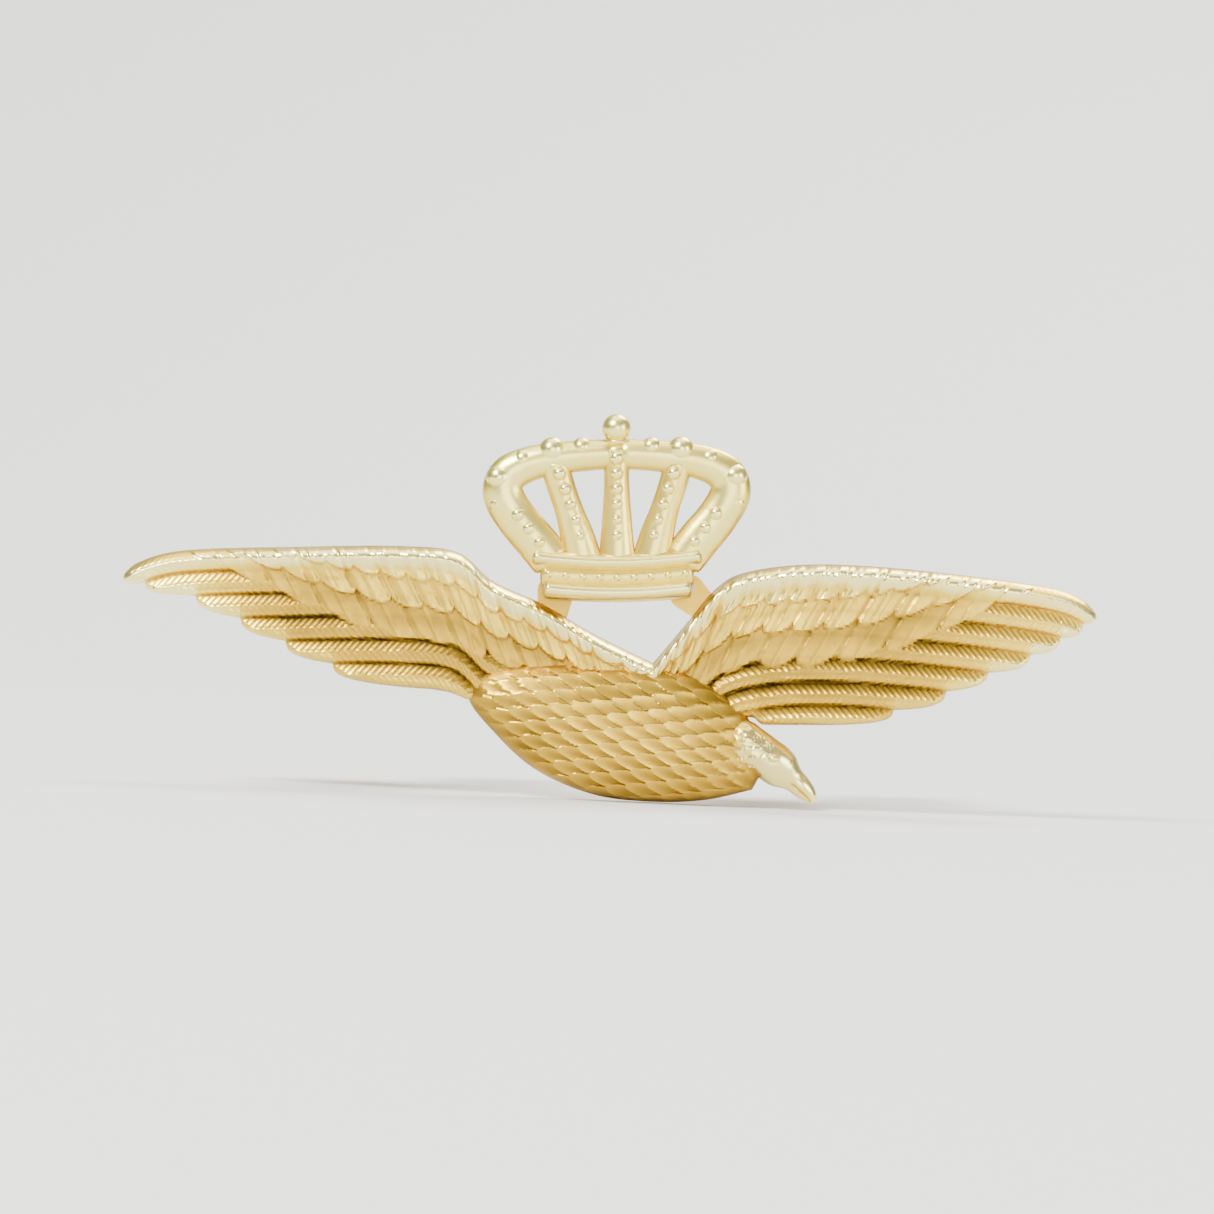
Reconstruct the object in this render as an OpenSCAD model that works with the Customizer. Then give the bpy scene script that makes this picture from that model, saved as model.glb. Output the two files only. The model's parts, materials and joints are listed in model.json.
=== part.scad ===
// Pilot wings pin: a struck brass bird in level flight with an arched crown between its wings,
// worn on cloth by two posts, each gripped from behind by a ball-lock keeper.
// The frame: X runs along the wings, Z is up, the front faces -Y, and the flat back is the plane y = 0.
// The origin is the point on the back half-way between the two posts. Sizes are in millimetres.

/* [Bird] */
// Span from wing tip to wing tip
span = 38; // [30:1:60]
// Thickness of the struck plate at its thinnest
plate_t = 1.0; // [0.8:0.1:1.6]
// Height of one feather row above the row under it
row_step = 0.22; // [0.1:0.01:0.4]
// Width of the quill down a long feather
quill_w = 0.3; // [0.2:0.05:0.5]
// How far the breast stands in front of the plate
breast_h = 0.95; // [0.4:0.05:1.6]

/* [Crown] */
// Width of the crown over its outer arches
crown_w = 10.2; // [8:0.1:14]
// Height of the crown without its ball
crown_h = 6.4; // [5.5:0.1:9]
// Thickness of the crown
crown_t = 1.0; // [0.7:0.1:1.6]
// Width of each arch
arch_w = 1.05; // [0.8:0.05:1.15]
// Lean of the crown to the left of upright, in degrees
crown_lean = 3; // [0:1:6]
// Diameter of the ball on top
ball_top_d = 1.15; // [0.8:0.05:1.6]

/* [Posts] */
// Distance between the two posts
post_gap = 16; // [13:0.5:20]
// Diameter of a post
post_d = 1.2; // [1:0.05:1.4]
// Length of a post behind the back
post_l = 7.4; // [7:0.1:9]
// Diameter of the flange at a post's root
flange_d = 4.0; // [3:0.1:4.6]
// Thickness of that flange, and depth of the seat it is let into
flange_t = 0.5; // [0.3:0.05:0.7]
// Width of the ring of solder round the flange
solder_w = 0.2; // [0.1:0.05:0.3]

/* [Keepers] */
// Gap left for the cloth between the back and a keeper
cloth_gap = 2.35; // [2.2:0.05:4]
// Play between a keeper's barrel and its cap, on the radius
cap_play = 0.12; // [0.08:0.02:0.3]
// Running clearance between a post and a keeper's bore, on the radius
bore_clear = 0.05; // [0.03:0.01:0.08]
// Diameter of a lock ball
lock_ball_d = 1.0; // [0.8:0.05:1.1]
// Half-angle of the cone that jams the balls, in degrees
cone_angle = 10; // [7:1:13]
// Diameter of the spring's wire
wire_d = 0.22; // [0.15:0.01:0.26]

/* [Hidden] */
$fn = 48;

gold = [0.83, 0.70, 0.40];
pale_gold = [0.91, 0.84, 0.62];
solder_grey = [0.72, 0.72, 0.70];
brass = [0.80, 0.66, 0.36];
steel = [0.75, 0.76, 0.78];

// ---- curves ----
// Point at t from 0 to 1 between p[i] and p[i + 1] on a Catmull-Rom curve through the points p
function cr(a, b, c, d, t) = 0.5 * (2 * b + (c - a) * t + (2 * a - 5 * b + 4 * c - d) * t * t
                                    + (3 * b - a - 3 * c + d) * t * t * t);
function curve(p, n = 5) =
    let (m = len(p) - 1)
    concat([for (i = [0 : m - 1], j = [0 : n - 1])
                cr(p[max(i - 1, 0)], p[i], p[i + 1], p[min(i + 2, m)], j / n)], [p[m]]);
// Direction along a list of points at point i
function along(p, i) = let (v = p[min(i + 1, len(p) - 1)] - p[max(i - 1, 0)]) v / norm(v);
// Outline of a strip that follows the points p, from w0 wide at its start to w1 wide at its end
function strip(p, w0, w1) =
    let (n = len(p) - 1,
         side = [for (i = [0 : n]) let (t = along(p, i)) [-t[1], t[0]] * (w0 + (w1 - w0) * i / n) / 2])
    concat([for (i = [0 : n]) p[i] + side[i]], [for (i = [n : -1 : 0]) p[i] - side[i]]);
// Stretches a list of points along the span, which was drawn at 38 mm, and lowers it so that the posts stand
// at the middle of the wings' depth, where the keepers stay out of sight
drawn_span = 38;
sx = span / drawn_span;
drop = 0.2;
function wide(p) = [for (q = p) [q[0] * sx, q[1] - drop]];
// Puts a flat shape in the badge's own plane, from y = -front to y = -back
module flat(front, back = 0) { translate([0, -back, 0]) rotate([90, 0, 0]) linear_extrude(front - back) children(); }

// ---- bird ----
// The outline is one closed loop of curves that meet at the corners of the real edge
left_top = [[-19.0, 1.55], [-16.9, 2.35], [-12.0, 2.75], [-8.2, 2.95], [-6.0, 2.8]];
left_inner = [[-6.0, 2.8], [-4.6, 1.75], [-2.6, 0.95], [-0.6, -0.1], [1.8, -1.15]];
right_inner = [[1.8, -1.15], [3.1, 0.55], [4.2, 1.95], [5.4, 2.6]];
right_top = [[5.4, 2.6], [8.0, 3.0], [12.0, 2.95], [17.2, 2.5], [19.0, 1.75]];
right_low = [[19.0, 1.75], [18.7, 1.15], [16.4, -0.35], [14.5, -1.25], [11.9, -2.5], [9.0, -3.15], [6.4, -3.2],
             [5.7, -2.85]];
head_edge = [[5.7, -2.85], [5.9, -3.7], [6.7, -4.3], [7.5, -4.9], [8.35, -6.05]];
beak_low = [[8.35, -6.05], [7.4, -5.75], [6.6, -5.75], [5.9, -6.0]];
belly = [[5.9, -6.0], [4.0, -6.4], [1.8, -6.55], [-0.4, -6.35], [-2.6, -5.5], [-4.3, -4.1], [-5.3, -2.75]];
left_low = [[-5.3, -2.75], [-8.0, -2.55], [-10.6, -1.95], [-13.6, -0.65], [-16.4, 0.55], [-19.0, 1.05],
            [-19.0, 1.55]];
bird_edge = wide(concat(curve(left_top), curve(left_inner), curve(right_inner), curve(right_top),
                        curve(right_low), curve(head_edge), curve(beak_low), curve(belly), curve(left_low)));

post_x = post_gap / 2;
// The crown's headband, whose ends turn up a little, is its foot
band_l = 6.3;
band_h = 1.9;
function turn_up(u) = 0.022 * u * u;
foot_gap = 0.08;
foot_w = band_l / 2 + foot_gap;
crown_at = [0.3, 1.15 - drop];
ear_r = 0.72;
ear_t = plate_t - 0.4;
// The two small ears that carry the crown's foot, in the crown's own coordinates
ears = [[-2.4, 0.42], [2.75, 0.37]];
// Each spot of solder lies on its ear, towards the middle of the crown's foot
spots = [[-2.25, 0.65], [2.6, 0.6]];
spot_r = 0.42;

// An ear is a round spot under the crown's foot with a tongue back to a point inside the bird
ear_roots = wide([[-2.3, -0.4], [4.3, 0.6]]);
function leant(p) = [crown_at[0] * sx + p[0] * cos(crown_lean) - p[1] * sin(crown_lean),
                     crown_at[1] + p[0] * sin(crown_lean) + p[1] * cos(crown_lean)];
module ear(i) {
    translate(leant(ears[i])) circle(r = ear_r);
    polygon(strip([leant(ears[i]), ear_roots[i]], ear_r * 1.6, ear_r));
}

// Each wing has a raised field of coverts, a smaller field on that, and quills that run on to the tip.
// side is -1 for the left wing and 1 for the right one.
module coverts(side, inset) {
    p = wide([[side * 4.2, -0.15], [side * 6.2, 0.25], [side * 8.6, 0.75], [side * 11.5, 1.4]]);
    polygon(strip(curve(p, 3), 3.0 - 2 * inset, 1.6 - 2 * inset));
}
quills = 5;
module quill(side, k) {
    u = k / (quills - 1);
    reach = side < 0 ? 11.2 + 5.6 * sqrt(u) : 12.2 + 4.6 * u;
    low = side < 0 ? -1.15 : -1.75;
    polygon(strip(wide([[side * (9.6 + 0.6 * u), -0.2 + 2.0 * u], [side * reach, low + (1.75 - low) * u]]),
                  quill_w, quill_w * 0.7));
}
// The plate always reaches a little past the seats, wherever the posts stand
seat_d = flange_d + 2 * solder_w;
seat_edge = 0.3;
module bird_plate() {
    polygon(bird_edge);
    for (side = [-1, 1]) translate([side * post_x, 0]) circle(d = seat_d + 2 * seat_edge);
}
// The seat for one post's flange and its ring of solder
module seat(side) translate([side * post_x, 0, 0]) rotate([90, 0, 0])
    translate([0, 0, -0.5]) cylinder(d = seat_d, h = flange_t + 0.5);
// A smooth breast: a spindle laid along the body, of which the part in front of the plate shows
breast_l = 9.6;
breast_r = 2.45;
sink = 0.1; // how far a raised shape goes into what it stands on
module breast() intersection() {
    translate([1.1 * sx, breast_r - breast_h - plate_t, -4.1 - drop]) rotate([0, 9, 0]) rotate([0, 90, 0])
        rotate_extrude() polygon(concat([[0, -breast_l / 2]],
            [for (a = [15 : 15 : 165]) [breast_r * pow(sin(a), 0.8), -breast_l / 2 * cos(a)]],
            [[0, breast_l / 2]]));
    translate([-span / 2, -plate_t + sink - 10, -10]) cube([span, 10, 20]);
}
module head() translate([6.6 * sx, sink - plate_t, -5.05 - drop]) sphere(r = 0.6);
module bird() color(gold) difference() {
    union() {
        flat(plate_t) bird_plate();
        for (side = [-1, 1]) {
            flat(plate_t + row_step, plate_t - sink) coverts(side, 0);
            flat(plate_t + 2 * row_step, plate_t + row_step - sink) coverts(side, 0.5);
            for (k = [0 : quills - 1]) flat(plate_t + row_step * 0.6, plate_t - sink) quill(side, k);
        }
        breast();
        head();
        flat(ear_t) for (i = [0, 1]) ear(i);
    }
    // the crown's foot is let into the plate wherever the two would meet
    flat(plate_t + breast_h, ear_t) crown_place() polygon(concat([[-foot_w, band_h]],
        [for (i = [-4 : 4]) [foot_w * i / 4, turn_up(foot_w * i / 4) - foot_gap]], [[foot_w, band_h]]));
    for (side = [-1, 1]) seat(side);
}

// ---- crown ----
// The crown is drawn with its foot's centre at the origin, leans there, and is then carried to its place
module crown_place() translate([crown_at[0] * sx, crown_at[1]]) rotate(crown_lean) children();
hw = crown_w / 2;
// The headband has two rims with a groove between them
rim_w = 0.6;
rim_t = 0.25;
function rise(v) = (v - band_h) / (crown_h - band_h);
widest = 0.6; // share of the arches' height at which the crown is widest
// Half-width of the crown at height v, from the band up to the widest place
function flare(v) = band_l / 2 + (hw - band_l / 2) * sin(90 * min(1, rise(v) / widest));
widest_v = band_h + widest * (crown_h - band_h);
// The crown's edge: up the flare, over the dome, which is a superellipse, and along the foot
function on_dome(a) = [hw * pow(cos(a), 0.8), widest_v + (crown_h - widest_v) * pow(sin(a), 0.8)];
dome = [for (a = [0 : 9 : 90]) on_dome(a)];
right_edge = concat([for (u = [0 : 0.25 : 1]) [band_l / 2 * u, turn_up(band_l / 2 * u)]],
                    [for (i = [0 : 5]) let (v = band_h + (widest_v - band_h) * i / 6) [flare(v), v]],
                    [for (i = [0 : len(dome) - 1]) dome[i]]);
crown_edge = concat(right_edge, [for (i = [len(right_edge) - 2 : -1 : 1]) [-right_edge[i][0], right_edge[i][1]]]);
// Middle of the rib between the inner and the outer opening, at height v
function rib(v) = hw * (0.27 + 0.26 * rise(v));
// An opening on the right, between its inner and outer sides, with its four corners taken off
slot_low = band_h + 0.45;
function slot(outer) =
    let (high = outer ? crown_h - 1.45 : crown_h - 1.05, n = 6,
         at = [for (i = [0 : n]) slot_low + (high - slot_low) * i / n],
         pinch = [for (i = [0 : n]) i == 0 || i == n ? 0.18 : 0])
    concat([for (i = [0 : n]) [(outer ? rib(at[i]) + arch_w / 2 : arch_w / 2) + pinch[i], at[i]]],
           [for (i = [n : -1 : 0]) [(outer ? flare(at[i]) - arch_w * 1.2 : rib(at[i]) - arch_w / 2) - pinch[i],
                                    at[i]]]);
function mirrored(p) = [for (q = p) [-q[0], q[1]]];
// Several loops as one polygon with holes
module pierced(loops) {
    starts = [for (i = 0, s = 0; i < len(loops); s = s + len(loops[i]), i = i + 1) s];
    polygon([for (l = loops) each l],
            [for (i = [0 : len(loops) - 1]) [for (j = [0 : len(loops[i]) - 1]) starts[i] + j]]);
}
// The pearls stand on the outer arch, each at its own place round the dome, clear of the next
pearl_at = [4, 29, 50, 68];
pearl_d = arch_w * 0.7;
pearl_in = arch_w * 0.55;
solder_film = 0.1;
module crown() color(pale_gold) {
    back = ear_t + solder_film;
    flat(back + crown_t, back) crown_place()
        pierced([crown_edge, slot(false), slot(true), mirrored(slot(false)), mirrored(slot(true))]);
    // the rims of the headband stand a little inside its edges
    rim_l = band_l / 2 - 0.15;
    for (low = [0.08, band_h - rim_w - 0.08])
        flat(back + crown_t + rim_t, back + crown_t - sink) crown_place()
            polygon(concat([for (i = [-4 : 4]) [rim_l * i / 4, low + turn_up(rim_l * i / 4)]],
                           [for (i = [4 : -1 : -4]) [rim_l * i / 4, low + rim_w + turn_up(rim_l * i / 4)]]));
    // the ball on top, and pearls along the dome
    translate([crown_at[0] * sx, 0, crown_at[1]]) rotate([0, -crown_lean, 0]) {
        translate([0, -back - crown_t / 2, crown_h + ball_top_d * 0.3]) sphere(d = ball_top_d);
        for (side = [-1, 1], a = pearl_at) let (p = on_dome(a) - pearl_in * [cos(a), sin(a)])
            translate([side * p[0], sink - back - crown_t, p[1]]) sphere(d = pearl_d);
    }
}
module crown_solder() color(solder_grey)
    flat(ear_t + solder_film, ear_t) crown_place() for (p = spots) translate(p) circle(r = spot_r);

// ---- posts ----
// Everything on a post is turned about it: r is the distance from the post, and h runs back from the badge
module on_post(side, h = 0) translate([side * post_x, h, 0]) rotate([-90, 0, 0]) children();
post_r = post_d / 2;
root_r = post_r + 0.25;
root_h = 0.3;
// Two rolled grooves: the first marks where the cloth ends, and the second lets a plain clutch snap on
groove_w = 0.55;
groove_depth = 0.12;
mark_at = cloth_gap - 0.6;
tip_l = 1.0;
snap_at = post_l - tip_l - 0.95;
function groove(at) = [[post_r, at], [post_r - groove_depth, at + groove_w / 2], [post_r, at + groove_w]];
module post(side) color(brass) on_post(side) rotate_extrude() polygon(concat(
    [[0, -flange_t], [flange_d / 2, -flange_t], [flange_d / 2, 0], [root_r, 0], [post_r, root_h]],
    groove(mark_at), groove(snap_at),
    [[post_r, post_l - tip_l], [post_r * 0.55, post_l - tip_l * 0.35], [0, post_l]]));
module post_solder(side) color(solder_grey) on_post(side, -flange_t) difference() {
    cylinder(d = seat_d, h = flange_t - 0.05);
    translate([0, 0, -1]) cylinder(d = flange_d, h = flange_t + 2);
}

// ---- keepers ----
bore_r = post_r + bore_clear;
base_t = 0.5;
floor_h = 0.8;
ball_r = lock_ball_d / 2;
touch = 0.02; // between a ball and the post
ball_at = post_r + ball_r + touch; // from the post's middle to a ball's
ball_h = floor_h + ball_r + 0.35;
cone_at_ball = ball_at + (ball_r + 0.03) / cos(cone_angle);
function cone_r(h) = cone_at_ball + (h - ball_h) * tan(cone_angle);
sleeve_r = bore_r + 0.65;
collar_h = ball_h + ball_r + 0.35;
collar_t = 0.4;
collar_r = cone_r(collar_h) - 0.12;
cone_top = collar_h + 0.6;
barrel_in = cone_r(cone_top);
barrel_wall = 0.3;
barrel_out = barrel_in + barrel_wall;
slide_in = cloth_gap - 0.15; // how far a keeper can move towards the badge
tip_room = 0.35;
bore_end = post_l - cloth_gap + slide_in + tip_room;
ring_t = 0.45;
barrel_h = bore_end - 1.0;
ring_h = barrel_h - ring_t;
slip = 0.05;
cap_plate_t = 0.4;
cap_top = bore_end - 0.4;
cap_gap = 0.03;
neck_r = bore_r + 0.35;
head_r = neck_r + 0.5;
head_h = bore_end + 0.55;
cap_foot = base_t + 0.45;
cap_wall = 0.26;
cap_r = barrel_out + cap_play + cap_wall;
bead = 0.12; // how far the flange and the cap's bead stand out past the cap
keeper_r = cap_r + bead;

module keeper_base(side) color(brass) on_post(side, cloth_gap) rotate_extrude() polygon([
    [bore_r + 0.2, 0], [keeper_r - 0.15, 0], [keeper_r, 0.15], [keeper_r, base_t - 0.1], [keeper_r - 0.1, base_t],
    [barrel_out, base_t], [barrel_out, barrel_h], [barrel_in, barrel_h], [barrel_in, cone_top],
    [cone_r(floor_h), floor_h], [bore_r, floor_h], [bore_r, 0.2]]);
module end_ring(side) color(steel) on_post(side, cloth_gap + ring_h) difference() {
    cylinder(r = barrel_in, h = ring_t);
    translate([0, 0, -1]) cylinder(r = sleeve_r + slip, h = ring_t + 2);
}
module ball_cage(side) color(steel) on_post(side, cloth_gap) difference() {
    rotate_extrude() polygon([
        [bore_r, floor_h + 0.1], [sleeve_r, floor_h + 0.1], [sleeve_r, collar_h], [collar_r, collar_h],
        [collar_r, collar_h + collar_t], [sleeve_r, collar_h + collar_t], [sleeve_r, cap_top - cap_gap],
        [neck_r, cap_top - cap_gap], [neck_r, cap_top + cap_plate_t + cap_gap],
        [head_r, cap_top + cap_plate_t + cap_gap], [head_r, head_h - 0.3], [head_r * 0.7, head_h - 0.06],
        [0, head_h], [0, bore_end], [bore_r, bore_end - 0.1]]);
    for (a = [0 : 120 : 240]) rotate([0, 0, a]) translate([0, 0, ball_h]) rotate([0, 90, 0])
        cylinder(r = ball_r + 0.03, h = sleeve_r + 1);
}
module lock_balls(side) color(steel) on_post(side, cloth_gap)
    for (a = [0 : 120 : 240]) rotate([0, 0, a]) translate([ball_at, 0, ball_h]) sphere(r = ball_r);

// The spring is a wire of six sides swept along a helix from the collar to the end ring
spring_low = collar_h + collar_t + wire_d / 2 + 0.02;
spring_high = ring_h - wire_d / 2 - 0.02;
spring_turns = 5;
spring_r = (sleeve_r + barrel_in) / 2;
module keeper_spring(side) color(steel) on_post(side, cloth_gap) {
    rings = spring_turns * 14;
    sides = 6;
    lead = spring_high - spring_low;
    slope = atan2(lead, 2 * PI * spring_r * spring_turns);
    points = [for (i = [0 : rings], j = [0 : sides - 1])
        let (a = i * 360 * spring_turns / rings, b = j * 360 / sides,
             out = wire_d / 2 * cos(b), up = wire_d / 2 * sin(b))
        [(spring_r + out) * cos(a) + up * sin(slope) * sin(a), (spring_r + out) * sin(a) - up * sin(slope) * cos(a),
         spring_low + lead * i / rings + up * cos(slope)]];
    faces = concat([[for (j = [0 : sides - 1]) j]],
        [for (i = [0 : rings - 1], j = [0 : sides - 1])
            let (a = i * sides + j, b = i * sides + (j + 1) % sides) [a, a + sides, b + sides, b]],
        [[for (j = [sides - 1 : -1 : 0]) rings * sides + j]]);
    polyhedron(points, faces);
}
// The cap is a cup with a rolled bead at its mouth and two grip grooves
module keeper_cap(side) color(brass) on_post(side, cloth_gap) rotate_extrude() polygon([
    [cap_r - cap_wall, cap_foot], [keeper_r - 0.1, cap_foot], [keeper_r, cap_foot + 0.15],
    [keeper_r, cap_foot + 0.75], [keeper_r - 0.1, cap_foot + 0.9], [cap_r, cap_foot + 0.9],
    [cap_r, cap_foot + 2.2], [cap_r - 0.14, cap_foot + 2.35], [cap_r - 0.14, cap_foot + 2.65],
    [cap_r, cap_foot + 2.8], [cap_r, cap_top - 0.5], [cap_r - 0.2, cap_top + cap_plate_t - 0.35],
    [cap_r - 0.7, cap_top + cap_plate_t], [neck_r + cap_gap, cap_top + cap_plate_t],
    [neck_r + cap_gap, cap_top], [cap_r - cap_wall - 0.35, cap_top], [cap_r - cap_wall, cap_top - 0.35]]);

bird();
crown();
crown_solder();
post(-1);  // left_post
post(1);  // right_post
post_solder(-1);  // left_post_solder
post_solder(1);  // right_post_solder
keeper_base(-1);  // left_keeper_base
keeper_base(1);  // right_keeper_base
end_ring(-1);  // left_end_ring
end_ring(1);  // right_end_ring
ball_cage(-1);  // left_ball_cage
ball_cage(1);  // right_ball_cage
lock_balls(-1);  // left_lock_balls
lock_balls(1);  // right_lock_balls
keeper_spring(-1);  // left_keeper_spring
keeper_spring(1);  // right_keeper_spring
keeper_cap(-1);  // left_keeper_cap
keeper_cap(1);  // right_keeper_cap
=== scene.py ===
# %% [markdown]
# # A pilot wings pin
# A small struck brass badge: a bird in level flight, an arched crown soldered between its wings, and on its
# back two posts, each gripped by a ball-lock keeper. The CAD model says where everything is. The surfaces here
# are worked out with numpy in the same frame, in millimetres, and go into Blender in metres.

# %% Load the frame
import json
import math

import bmesh
import bpy
import numpy as np
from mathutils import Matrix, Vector

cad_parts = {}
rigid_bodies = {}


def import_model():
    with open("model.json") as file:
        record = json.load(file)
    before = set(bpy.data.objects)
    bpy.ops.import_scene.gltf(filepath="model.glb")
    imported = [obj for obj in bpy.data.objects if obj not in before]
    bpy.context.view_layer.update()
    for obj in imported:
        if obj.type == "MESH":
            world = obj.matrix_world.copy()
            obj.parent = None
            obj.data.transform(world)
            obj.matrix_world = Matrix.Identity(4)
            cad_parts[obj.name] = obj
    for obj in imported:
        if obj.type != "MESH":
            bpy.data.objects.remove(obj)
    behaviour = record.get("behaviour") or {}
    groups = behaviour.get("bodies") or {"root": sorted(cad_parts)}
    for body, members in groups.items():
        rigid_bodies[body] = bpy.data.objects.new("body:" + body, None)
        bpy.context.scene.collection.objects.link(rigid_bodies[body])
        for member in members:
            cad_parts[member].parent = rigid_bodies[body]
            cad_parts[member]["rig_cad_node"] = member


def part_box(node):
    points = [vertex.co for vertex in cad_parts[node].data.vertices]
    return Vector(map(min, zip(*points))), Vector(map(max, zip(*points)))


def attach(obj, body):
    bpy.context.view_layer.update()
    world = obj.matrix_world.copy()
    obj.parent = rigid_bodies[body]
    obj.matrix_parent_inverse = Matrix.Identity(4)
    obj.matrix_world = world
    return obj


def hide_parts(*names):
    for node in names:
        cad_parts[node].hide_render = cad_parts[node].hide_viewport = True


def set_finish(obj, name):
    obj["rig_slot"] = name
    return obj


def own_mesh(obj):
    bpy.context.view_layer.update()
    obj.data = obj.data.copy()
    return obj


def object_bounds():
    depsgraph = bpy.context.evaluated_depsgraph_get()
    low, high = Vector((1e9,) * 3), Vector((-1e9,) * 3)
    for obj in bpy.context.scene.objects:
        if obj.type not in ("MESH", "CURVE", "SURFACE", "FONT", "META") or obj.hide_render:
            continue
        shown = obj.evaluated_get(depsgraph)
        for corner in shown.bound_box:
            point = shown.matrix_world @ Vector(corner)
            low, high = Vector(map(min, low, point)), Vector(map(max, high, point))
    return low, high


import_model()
cad_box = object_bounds()
MM = 0.001
print("CAD box in mm:", [[round(c / MM, 2) for c in corner] for corner in cad_box])


def span_mm(node):
    """The lowest and highest corner of a CAD node, in millimetres, as two arrays."""
    low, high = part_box(node)
    return np.array(low) / MM, np.array(high) / MM


# %% [markdown]
# ## Grids
# Every new piece is a grid of points with a formula behind it. A grid could be filled face by face with bmesh,
# but one array of corner numbers does it in a single step and is easy to check: the faces of a grid are the
# same four neighbours over and over.

# %% From arrays to a mesh
def grid_faces(rows, cols, wrap=False):
    """Quads of a grid numbered row by row: each joins a point to its right, its diagonal and its lower
    neighbour. With wrap the last column is joined to the first."""
    row = np.arange(rows - 1)[:, None] * cols
    col = np.arange(cols if wrap else cols - 1)[None, :]
    after = (col + 1) % cols
    return np.stack([row + col, row + after, row + cols + after, row + cols + col], -1).reshape(-1, 4)


def joined(parts):
    """Several (points, faces) pairs as one pair, each part's face numbers moved past the points before it."""
    start = np.cumsum([0] + [len(points) for points, _ in parts[:-1]])
    return (np.vstack([points for points, _ in parts]),
            [list(map(int, face)) for (_, faces), first in zip(parts, start)
             for face in (np.asarray(faces) + first)])


def piece(name, points, faces, body, slot, instead_of=(), attributes=None, smooth_angle=40):
    """Makes a mesh object from points in millimetres, merges doubles, turns its faces outwards and lets it
    ride on a CAD body. Attributes are one number per point each."""
    mesh = bpy.data.meshes.new(name)
    mesh.from_pydata((np.asarray(points) * MM).tolist(), [], [list(map(int, f)) for f in faces])
    for key, values in (attributes or {}).items():
        layer = mesh.attributes.new(key, "FLOAT", "POINT")
        layer.data.foreach_set("value", np.asarray(values, np.float32).ravel())
    work = bmesh.new()
    work.from_mesh(mesh)
    bmesh.ops.remove_doubles(work, verts=work.verts, dist=2e-7)
    bmesh.ops.recalc_face_normals(work, faces=work.faces)
    work.to_mesh(mesh)
    work.free()
    mesh.polygons.foreach_set("use_smooth", np.ones(len(mesh.polygons), bool))
    mesh.set_sharp_from_angle(angle=math.radians(smooth_angle))
    obj = bpy.data.objects.new(name, mesh)
    bpy.context.scene.collection.objects.link(obj)
    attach(obj, body)
    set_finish(obj, slot)
    if instead_of:
        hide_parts(*instead_of)
    print(f"{name}: {len(mesh.vertices)} points, {len(mesh.polygons)} faces")
    return obj


# %% Smooth lines and steps
def smooth_line(points, per_span=16):
    """A Catmull-Rom curve: between two points it is a cubic whose slope at each of them is half the step
    between that point's neighbours."""
    p = np.asarray(points, float)
    i = np.arange(len(p) - 1)
    a, b, c, d = p[np.maximum(i - 1, 0)], p[i], p[i + 1], p[np.minimum(i + 2, len(p) - 1)]
    t = (np.arange(per_span) / per_span)[None, :, None]
    a, b, c, d = (q[:, None, :] for q in (a, b, c, d))
    curve = 0.5 * (2 * b + (c - a) * t + (2 * a - 5 * b + 4 * c - d) * t**2 + (3 * b - a - 3 * c + d) * t**3)
    return np.vstack([curve.reshape(-1, p.shape[1]), p[-1:]])


def full_turn(count):
    """Even angles round a full turn, without the last, which would be the first again."""
    return np.linspace(0, 2 * np.pi, count + 1)[:-1]


def ease(x):
    """0 below 0, 1 above 1, and an S-shaped cubic between: three times the square less twice the cube."""
    x = np.clip(x, 0, 1)
    return x * x * (3 - 2 * x)


def height_on(line, x):
    """Height of a line that runs along the wings, at each x."""
    order = np.argsort(line[:, 0], kind="stable")
    return np.interp(x, line[order, 0], line[order, 1])


# %% [markdown]
# ## The bird's edges
# The badge is one blank of brass, struck between two dies and trimmed. Its edge is what the eye takes in first,
# so the wings, the breast and the flat back are all made from the same few lines: the upper and lower edge of
# each wing, the belly and the beak. The lower edge of a wing is cut in steps, one for each long feather.

# %% Edge lines, in millimetres along the wings and up
DROP = np.array([0, 0.2])  # the badge was drawn about its own middle, and its posts stand a little above that
LEFT_UPPER = smooth_line([[-19.0, 1.55], [-16.9, 2.35], [-12.0, 2.75], [-8.2, 2.95], [-6.0, 2.8],
                          [-4.6, 1.75], [-2.6, 0.95], [-0.6, -0.1], [1.8, -1.15]]) - DROP
RIGHT_UPPER = smooth_line([[1.8, -1.15], [3.1, 0.55], [4.2, 1.95], [5.4, 2.6], [8.0, 3.0], [12.0, 2.95],
                           [17.2, 2.5], [19.0, 1.75]]) - DROP
LEFT_LOWER = smooth_line([[-19.0, 1.05], [-16.4, 0.55], [-13.6, -0.65], [-10.6, -1.95], [-8.0, -2.65],
                          [-5.3, -2.85], [-2.0, -3.4], [1.8, -3.8]]) - DROP
RIGHT_LOWER = smooth_line([[1.8, -4.0], [4.2, -3.6], [5.7, -3.05], [6.4, -3.2], [9.0, -3.15], [11.9, -2.5],
                           [14.5, -1.25], [16.4, -0.35], [18.7, 1.15], [19.0, 1.45]]) - DROP
WING_TIP = 19.0
WING_ROOT = 1.8  # under the breast, where the two wings meet
TIP_ROUND = 0.55
FEATHER_W = 0.92
FEATHERS = {"left": 6, "right": 7}  # long feathers that show along each wing's lower edge
FIRST_STEP = 0.18  # share of a feather's width by which the steps are moved
STEP_POWER = 0.35  # the smaller, the squarer a feather's end
BODY_SIDE = {"left": -4.9, "right": 5.4}  # where each wing comes out from behind the breast


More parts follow.
